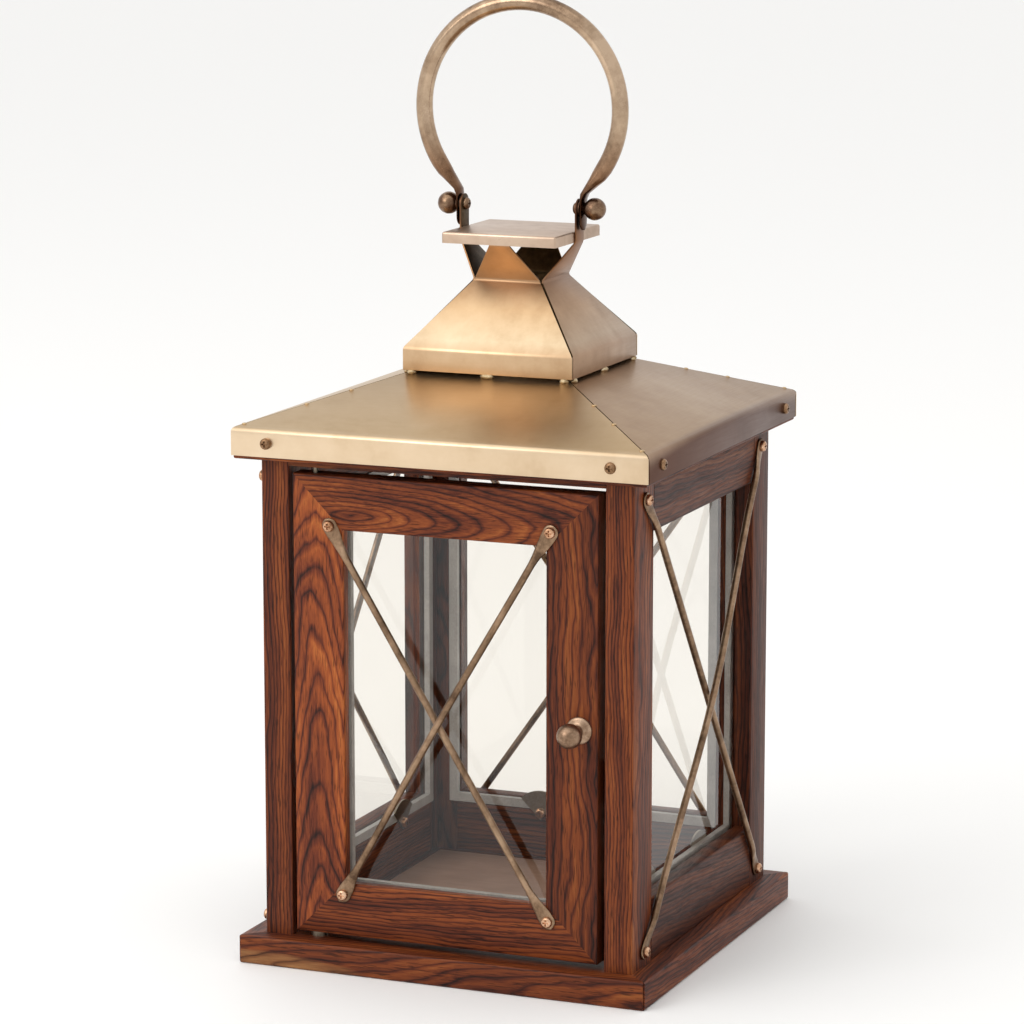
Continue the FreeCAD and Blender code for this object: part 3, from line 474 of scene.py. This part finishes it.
def leafSolid(rows, turn, radius, roundFolds):
    bm, folds = bentLeaf(rows)
    rounded = [folds[i] for i in roundFolds]
    bmesh.ops.bevel(bm, geom=rounded, offset=radius, segments=sheet["foldSegments"], profile=0.5,
                    affect="EDGES", material=-1)
    bm.normal_update()
    first = min(bm.faces, key=lambda face: face.calc_center_median().z)
    if first.normal.y > 0:
        bmesh.ops.reverse_faces(bm, faces=bm.faces[:])
    bmesh.ops.solidify(bm, geom=bm.faces[:], thickness=sheet["thickness"])
    bmesh.ops.recalc_face_normals(bm, faces=bm.faces[:])
    for face in bm.faces:                                  # 0 outside, 1 inside (painted dark as shade), 2 outside of the right leaf (darker copy as painted shade)
        face.material_index = 1 if face.normal.y > 0.1 else 2 * (turn == 1)
    rims = [e for e in bm.edges if e.calc_face_angle(0) > math.radians(60)]
    bmesh.ops.bevel(bm, geom=rims, offset=sheet["edgeEase"], segments=2, profile=0.5, affect="EDGES",
                    material=-1, clamp_overlap=True)
    bmesh.ops.transform(bm, matrix=quarterTurn(turn), verts=bm.verts[:])
    return bm


def joinInto(target, source):
    mesh = bpy.data.meshes.new("part")
    source.to_mesh(mesh)
    source.free()
    target.from_mesh(mesh)
    bpy.data.meshes.remove(mesh)


pivot = middleOf("pivot_screws").z

roof = {
    "half": roofHigh.x, "foot": roofLow.z, "skirt": 14.6 * mm, "openHalf": 40.0 * mm, "top": roofHigh.z,
    "tackAt": (0.31, 0.57, 0.93), "tackRadius": 1.5 * mm, "tackRise": 0.45, "tackIn": 0.8 * mm,
    "tackSink": 0.3 * mm,
}


def tackDot(bm, place, radius, rise):
    made = bmesh.ops.create_icosphere(bm, subdivisions=2, radius=radius)["verts"]
    bmesh.ops.scale(bm, vec=(1, 1, rise), verts=made)
    bmesh.ops.translate(bm, vec=place, verts=made)


def makeRoof():
    bm = bmesh.new()
    half = roof["half"]
    fold = roof["foot"] + roof["skirt"]
    for turn in range(4):
        inset = sheet["sideInset"] if turn % 2 else sheet["frontInset"]
        slope = sheet["slopeInset"] if turn % 2 else sheet["frontInset"]
        rows = [(half - inset, -half, roof["foot"]), (half - inset, -half, fold - sheet["notch"]),
                (half - slope, -half, fold),
                (roof["openHalf"] - sheet["hipInset"], -roof["openHalf"], roof["top"])]
        joinInto(bm, leafSolid(rows, turn, sheet["foldRadius"], [1]))
    hoodHalf = hoodHigh.x
    slope = (roof["top"] - fold) / (half - roof["openHalf"])
    for turn in range(4):
        for share in roof["tackAt"]:
            reach = hoodHalf + (half - hoodHalf) * share - roof["tackIn"]
            height = fold + (half - reach) * slope - roof["tackSink"]
            spot = quarterTurn(turn) @ Vector((reach, -reach, height))
            tackDot(bm, spot, roof["tackRadius"], roof["tackRise"])
    finishPiece(bm, "roofLeaves", "lantern", roofBrass, ["roof_sheet"], 40,
                [shadedInsideBrass, roofBrassShaded])


hood = {
    "half": hoodHigh.x, "foot": hoodLow.z, "skirt": 12.0 * mm, "throatHalf": 19.75 * mm,
    "tabHeadHalf": 5.5 * mm, "foldRadius": 1.3 * mm, "earSteps": 6,
    "frontInset": 0.15 * mm, "sideInset": 1.8 * mm, "throatInset": 0.9 * mm, "throatDrop": 20 * mm,
    "earGap": 0.1 * mm,
}


def makeHood():
    bm = bmesh.new()
    half = hood["half"]
    outside = capHigh.x + hood["earGap"] + sheet["thickness"]
    throat = capLow.z - hood["throatDrop"]
    for turn in range(4):
        inset = hood["sideInset"] if turn % 2 else hood["frontInset"]
        reach = outside if turn % 2 else capHigh.x - sheet["thickness"]
        rows = [(half - inset, -half, hood["foot"]), (half - inset, -half, hood["foot"] + hood["skirt"]),
                (hood["throatHalf"] - hood["throatInset"], -hood["throatHalf"], throat),
                (hood["tabHeadHalf"], -reach, capLow.z)]
        if turn % 2:
            ear = hood["tabHeadHalf"]
            steps = [math.pi / 2 * i / hood["earSteps"] for i in range(hood["earSteps"])]
            rows += [(ear * math.cos(a), -reach, pivot + ear * math.sin(a)) for a in steps]
        else:
            rows.append((hood["tabHeadHalf"], -reach, capHigh.z - sheet["thickness"] - hood["earGap"]))
        joinInto(bm, leafSolid(rows, turn, hood["foldRadius"], [0, 1, 2]))
    finishPiece(bm, "hoodLeaves", "lantern", hoodBrass, ["hood"], 40,
                [shadedInsideBrass, hoodBrassShaded])


cap = {"foldRadius": 1.2 * mm, "segments": 4}


def makeCap():
    bm = bmesh.new()
    bmesh.ops.create_cube(bm, size=1)
    size = capHigh - capLow
    bmesh.ops.scale(bm, vec=size, verts=bm.verts[:])
    bmesh.ops.translate(bm, vec=(capLow + capHigh) / 2, verts=bm.verts[:])
    under = [face for face in bm.faces if face.normal.z < -0.9]
    bmesh.ops.delete(bm, geom=under, context="FACES_ONLY")
    folds = [e for e in bm.edges if e.is_manifold]
    bmesh.ops.bevel(bm, geom=folds, offset=cap["foldRadius"], segments=cap["segments"], profile=0.5,
                    affect="EDGES", material=-1)
    bmesh.ops.recalc_face_normals(bm, faces=bm.faces[:])
    bmesh.ops.solidify(bm, geom=bm.faces[:], thickness=sheet["thickness"])
    finishPiece(bm, "capPlate", "lantern", capBrass, ["cap"], 50)


beads = {
    "radius": 2.0 * mm, "rise": 0.75, "at": (-0.92, 0.0, 0.92), "middleLength": 2.0, "cornerLength": 1.25,
    "lump": 0.22,
}


def makeBeads():
    bm = bmesh.new()
    low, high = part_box("weld_beads")
    z = (low.z + high.z) / 2
    edge = hood["half"] - beads["radius"] / 2
    for turn in range(4):
        for share in beads["at"]:
            spot = quarterTurn(turn) @ Vector((edge * share, -edge, z))
            made = bmesh.ops.create_icosphere(bm, subdivisions=3, radius=beads["radius"])["verts"]
            stretch = beads["middleLength"] if share == 0 else beads["cornerLength"]
            size = (1, stretch, beads["rise"]) if turn % 2 else (stretch, 1, beads["rise"])
            bmesh.ops.scale(bm, vec=size, verts=made)
            for vert in made:
                vert.co *= 1 + beads["lump"] * noise.noise(vert.co * 700 + spot * 500)
            bmesh.ops.translate(bm, vec=spot, verts=made)
    finishPiece(bm, "weldBeads", "lantern", beadBrass, ["weld_beads"], 60)


makeRoof()
makeHood()
makeCap()
makeBeads()
print("stage: sheet brass made")


# tubes and rods: a round section carried along and flattened towards its ends
def sweepSections(sections, count=20):
    bm = bmesh.new()
    ring = bmesh.ops.create_circle(bm, segments=count, radius=1.0)["verts"]
    base = [vert.co.copy() for vert in ring]
    edges = list({edge for vert in ring for edge in vert.link_edges})
    first = ring
    order = {vert: i for i, vert in enumerate(ring)}
    for vert, co in zip(ring, base):
        vert.co = sections[0] @ co
    for matrix in sections[1:]:
        sources = {}
        made = bmesh.ops.extrude_edge_only(bm, edges=edges)["geom"]
        fresh = [part for part in made if isinstance(part, bmesh.types.BMVert)]
        for vert in fresh:
            twin = next(e.other_vert(vert) for e in vert.link_edges if e.other_vert(vert) in order)
            sources[vert] = order[twin]
        edges = [part for part in made if isinstance(part, bmesh.types.BMEdge)
                 and part.verts[0] in sources and part.verts[1] in sources]
        for vert, index in sources.items():
            vert.co = matrix @ base[index]
        order = sources
    caps = [list(order), first]
    for loop in caps:
        rim = list({e for vert in loop for e in vert.link_edges if e.other_vert(vert) in loop})
        bmesh.ops.contextual_create(bm, geom=rim)
    return bm


def section(origin, across, thick, halfWidth, halfThick):
    matrix = Matrix.Identity(4)
    matrix.col[0][:3] = Vector(across) * halfWidth
    matrix.col[1][:3] = Vector(thick) * halfThick
    matrix.col[2][:3] = Vector(across).cross(Vector(thick))
    matrix.translation = origin
    return matrix


rods = {
    "radius": 1.9 * mm, "clear": 0.2 * mm, "endRadius": 4.2 * mm, "endHalfThick": 0.8 * mm,
    "endTip": 0.25 * mm, "endSteps": 6, "taper": 20 * mm, "over": 4.4 * mm, "steps": 12,
    # share of the taper, half width and half thickness (mm)
    "endShape": ((0.2, 4.0, 0.8), (0.4, 3.4, 0.85), (0.6, 2.8, 1.15), (0.8, 2.2, 1.6), (1.0, 1.9, 1.9)),
}


def endSections(screw, along, out):
    across = out.cross(along)
    made = []
    radius = rods["endRadius"]
    for i in range(rods["endSteps"] + 1):                  # round end, flat under the screw
        a = math.pi / 2 * (i / rods["endSteps"])
        reach = -radius * math.cos(a)
        made.append((reach, max(radius * math.sin(a), rods["endTip"]), rods["endHalfThick"],
                     rods["endHalfThick"]))
    lift = rods["radius"] + rods["clear"]
    for share, width, thick in rods["endShape"]:
        smooth = share * share * (3 - 2 * share)
        made.append((rods["taper"] * share, width * mm, thick * mm,
                     rods["endHalfThick"] + (lift - rods["endHalfThick"]) * smooth))
    return [section(screw + along * reach + out * height, across, out, half, thick)
            for reach, half, thick, height in made]


def rodBetween(name, node, start, end, out, over, body):
    along = (end - start).normalized()
    length = (end - start).length
    across = out.cross(along)
    lift = rods["radius"] + rods["clear"]
    sections = endSections(start, along, out)
    for i in range(1, rods["steps"]):
        reach = rods["taper"] + (length - 2 * rods["taper"]) * i / rods["steps"]
        share = 1 - abs(reach - length / 2) / (length / 2 - rods["taper"])
        rise = rods["over"] * (share * share * (3 - 2 * share)) if over else 0
        sections.append(section(start + along * reach + out * (lift + rise), across, out,
                                rods["radius"], rods["radius"]))
    for matrix in reversed(endSections(end, -along, out)):
        flipped = matrix.copy()
        flipped.col[0] = -matrix.col[0]
        sections.append(flipped)
    bm = sweepSections(sections)
    finishPiece(bm, name, body, rodBrass, [node], 50)


def rodEnds(node, out, falls):
    low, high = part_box(node)
    flat = 0 if abs(out.x) < 0.5 else 1
    r = rods["endRadius"]
    first, second = low.copy(), high.copy()
    first.z, second.z = (high.z - r, low.z + r) if falls else (low.z + r, high.z - r)
    first[flat] += r
    second[flat] -= r
    face = 1 - flat
    level = low[face] if out[face] > 0 else high[face]
    first[face] = second[face] = level
    return first, second


def makeRods():
    for side, out, body in (("door", Vector((0, -1, 0)), "door"), ("right", Vector((1, 0, 0)), "lantern"),
                            ("back", Vector((0, 1, 0)), "lantern"), ("left", Vector((-1, 0, 0)), "lantern")):
        mirrored = side in ("back", "left")
        for kind in ("under", "over"):
            node = "%s_rod_%s" % (side, kind)
            falls = (kind == "under") != mirrored
            start, end = rodEnds(node, out, falls)
            rodBetween("rod_%s_%s" % (side, kind), node, start, end, out, kind == "over", body)


makeRods()
print("stage: crossed rods made")

bail = {
    "tube": 4.5 * mm, "ring": bailHigh.x - 4.5 * mm, "drop": bailLow.z, "steps": 64,
    "tongueHalf": 5.0 * mm, "tongueThick": 0.9 * mm, "tongueTip": 0.3 * mm, "tongueSteps": 5,
    "tongueOut": 2.9 * mm,                                 # past ear and washer, to the tongue's middle
    # height over the pivot, way out, half width and half thickness (mm) of the leg above the pivot
    "legShape": ((2, 0.0, 5.0, 0.9), (5, 0.1, 5.1, 1.1), (8, 0.9, 4.95, 2.0)),
    # the bend into the ring: share of its angle, half width and half thickness (mm)
    "bendShape": ((0.0, 4.8, 3.2), (1.0, 4.6, 4.1)), "bendAngle": 4, "ringStart": 9,
}


def ringSection(angle, ringZ, halfWidth, halfThick):
    out = Vector((math.cos(angle), 0, math.sin(angle)))
    centre = Vector((math.cos(angle) * bail["ring"], 0, ringZ + math.sin(angle) * bail["ring"]))
    return section(centre, Vector((0, 1, 0)), out, halfWidth, halfThick)


def makeBail():
    ringZ = bailHigh.z - bail["tube"] - bail["ring"]
    tongueX = capHigh.x + bail["tongueOut"]
    startAngle = -math.acos(tongueX / bail["ring"]) + math.radians(bail["ringStart"])
    leg = []
    r = bail["tongueHalf"]
    for i in range(bail["tongueSteps"] + 1):               # round lower end
        a = math.pi / 2 * i / bail["tongueSteps"]
        leg.append((bail["drop"] + r - r * math.cos(a), tongueX, max(r * math.sin(a), bail["tongueTip"]),
                    bail["tongueThick"]))
    for up, out, half, thick in bail["legShape"]:
        leg.append((pivot + up * mm, tongueX + out * mm, half * mm, thick * mm))
    right = [section(Vector((x, 0, z)), Vector((0, 1, 0)), Vector((1, 0, 0)), half, thick)
             for z, x, half, thick in leg]
    bend = [ringSection(startAngle + math.radians(bail["bendAngle"]) * share, ringZ, half * mm, thick * mm)
            for share, half, thick in bail["bendShape"]]
    sections = right + bend
    fromAngle = startAngle + math.radians(bail["ringStart"])
    for i in range(bail["steps"] + 1):
        a = fromAngle + (math.pi - 2 * fromAngle) * i / bail["steps"]
        sections.append(ringSection(a, ringZ, bail["tube"], bail["tube"]))
    mirror = Matrix.Diagonal((-1, 1, 1, 1))
    sections += [mirror @ matrix for matrix in reversed(right + bend)]
    bm = sweepSections(sections, 24)
    finishPiece(bm, "bailRing", "bail", bailBrass, ["bail"], 50)


# each ball has a short neck against its washer, and shallow dents
balls = {
    "dent": 0.022, "neckFoot": 2.6 * mm, "neckHead": 3.4 * mm, "neckLength": 1.6 * mm, "neckSink": 0.2 * mm,
}


def makeBalls():
    bm = bmesh.new()
    low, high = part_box("ball_nuts")
    radius = (high.z - low.z) / 2
    for hand in (-1, 1):
        centre = Vector((hand * (high.x - radius), 0, pivot))
        made = bmesh.ops.create_icosphere(bm, subdivisions=5, radius=radius)["verts"]
        for vert in made:
            dent = noise.noise(vert.co * 420 + centre * 60) + 0.5 * noise.noise(vert.co * 900)
            vert.co *= 1 - balls["dent"] * max(dent, 0)
        bmesh.ops.translate(bm, vec=centre, verts=made)
        neck = bmesh.ops.create_cone(bm, segments=24, radius1=balls["neckFoot"], radius2=balls["neckHead"],
                                     depth=balls["neckLength"])["verts"]
        bmesh.ops.rotate(bm, matrix=Matrix.Rotation(math.radians(90 * hand), 3, "Y"), verts=neck)
        bmesh.ops.translate(bm, vec=centre - Vector((hand * (radius - balls["neckSink"]), 0, 0)), verts=neck)
    finishPiece(bm, "ballNuts", "lantern", ballBrass, ["ball_nuts"], 60)


# the turned outline in mm: rim points are (in from the rosette's edge, height), and neck points are
# (radius, height)
knob = {
    "rim": ((0.0, 0.0), (0.0, 0.7), (0.4, 1.2), (1.4, 1.6)),
    "neck": ((4.4, 1.8), (3.4, 2.3), (2.9, 3.2), (2.7, 5.0)), "neckRadius": 2.9 * mm,
    "ballSteps": 16, "turnSteps": 48,
}


def makeKnob():
    low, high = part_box("door_knob")
    plateLow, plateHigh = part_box("knob_rosette")
    face = plateHigh.y
    radius = (high.z - low.z) / 2
    ballOut = face - low.y - radius
    plate = (plateHigh.z - plateLow.z) / 2
    outline = [(0.0, 0.0)]
    outline += [(plate - inwards * mm, h * mm) for inwards, h in knob["rim"]]
    outline += [(r * mm, h * mm) for r, h in knob["neck"]]
    neck = math.asin(knob["neckRadius"] / radius)
    for i in range(knob["ballSteps"] + 1):
        a = neck + (math.pi - neck) * i / knob["ballSteps"]
        outline.append((radius * math.sin(a), ballOut - radius * math.cos(a)))
    bm = bmesh.new()
    verts = [bm.verts.new((r, 0, h)) for r, h in outline]
    edges = [bm.edges.new(pair) for pair in zip(verts, verts[1:])]
    bmesh.ops.spin(bm, geom=verts + edges, cent=(0, 0, 0), axis=(0, 0, 1), angle=2 * math.pi,
                   steps=knob["turnSteps"], use_merge=True)
    bmesh.ops.remove_doubles(bm, verts=bm.verts[:], dist=0.01 * mm)
    bmesh.ops.rotate(bm, matrix=Matrix.Rotation(math.radians(90), 3, "X"), verts=bm.verts[:])
    centre = middleOf("door_knob")
    bmesh.ops.translate(bm, vec=(centre.x, face, centre.z), verts=bm.verts[:])
    finishPiece(bm, "doorKnob", "door", knobBrass, ["door_knob", "knob_rosette"], 40)


makeBail()
makeBalls()
makeKnob()
print("stage: bail, ball nuts and knob made")

# CAD nodes that stay, with their finishes
kept = {
    "glass": glassMaterial, "floor_board": floorStain, "glass_edging": tapeGrey, "screw_brass": screwBrass,
    "zinc_steel": zincPlate, "magnet_case": mouldedBrown, "aged_brass": darkBrass, "roof_brass": hoodBrass,
    "rod_brass": rodBrass,
}
ownFinish = {"roof_screws": skirtScrewBrass, "pivot_screws": ballBrass}
for keptNode, slotName in slotOf.items():
    if slotName in kept:
        useOnNode(keptNode, ownFinish.get(keptNode, kept[slotName]))
print("stage: finishes on kept nodes")

# a wide pale paper floor, an even white room and two large soft lamps from the left and above
studio = {
    "floorSize": 30.0, "floorColour": "#F4F3F1", "worldColour": "#FFFFFF", "worldStrength": 1.0,
    "keyAt": (-1.5, -2.5, 1.8), "keyTo": (0, 0, 0.25), "keySize": 1.6, "keyPower": 24.0,
    "topAt": (-0.9, -1.0, 2.4), "topTo": (0, 0, 0.2), "topSize": 3.0, "topPower": 20.0,
}


def makeFloor():
    bm = bmesh.new()
    bmesh.ops.create_grid(bm, x_segments=1, y_segments=1, size=studio["floorSize"] / 2)
    mesh = bpy.data.meshes.new("floor")
    bm.to_mesh(mesh)
    bm.free()
    floor = bpy.data.objects.new("floor", mesh)
    bpy.context.scene.collection.objects.link(floor)
    material, tree = newMaterial("palePaper")
    place = addNode(tree, "TexCoord").outputs["Object"]
    tooth = addNode(tree, "TexNoise", {"Vector": place, "Scale": 300.0, "Detail": 2.0})
    bump = addNode(tree, "Bump", {"Height": tooth.outputs["Fac"], "Strength": 0.05})
    shader = addNode(tree, "BsdfPrincipled", {"Base Color": linear(studio["floorColour"]), "Roughness": 0.6,
                                              "Normal": bump.outputs[0]})
    closeMaterial(tree, shader.outputs[0])
    mesh.materials.append(material)


def makeLight(name, at, size, power, target):
    light = bpy.data.lights.new(name, "AREA")
    light.shape = "SQUARE"
    light.size = size
    light.energy = power
    lamp = bpy.data.objects.new(name, light)
    lamp.location = at
    lamp.rotation_euler = (Vector(target) - Vector(at)).to_track_quat("-Z", "Y").to_euler()
    bpy.context.scene.collection.objects.link(lamp)


def makeWorld():
    world = bpy.data.worlds.new("softRoom")
    bpy.context.scene.world = world
    world.use_nodes = True
    world.node_tree.nodes.clear()
    back = addNode(world.node_tree, "Background", {"Color": linear(studio["worldColour"]),
                                                   "Strength": studio["worldStrength"]})
    addNode(world.node_tree, "OutputWorld", {"Surface": back.outputs[0]})


# the eye stands to the right of the door, a little higher than the bail
view = {"turn": 22.26, "reach": 2.226, "height": 0.649, "heading": 22.39, "pitch": 10.57, "lens": 147.4}


def makeCamera():
    camera = bpy.data.cameras.new("camera")
    camera.lens = view["lens"]
    camera.sensor_width = 36
    camera.clip_start = 0.1
    camera.clip_end = 50
    eye = bpy.data.objects.new("camera", camera)
    turn = math.radians(view["turn"])
    eye.location = (math.sin(turn) * view["reach"], -math.cos(turn) * view["reach"], view["height"])
    eye.rotation_euler = (math.radians(90 - view["pitch"]), 0, math.radians(view["heading"]))
    bpy.context.scene.collection.objects.link(eye)
    bpy.context.scene.camera = eye


makeFloor()
makeLight("keyLight", studio["keyAt"], studio["keySize"], studio["keyPower"], studio["keyTo"])
makeLight("topLight", studio["topAt"], studio["topSize"], studio["topPower"], studio["topTo"])
makeWorld()
makeCamera()
print("stage: floor, light and camera set")

bpy.context.scene.view_settings.view_transform = "Standard"
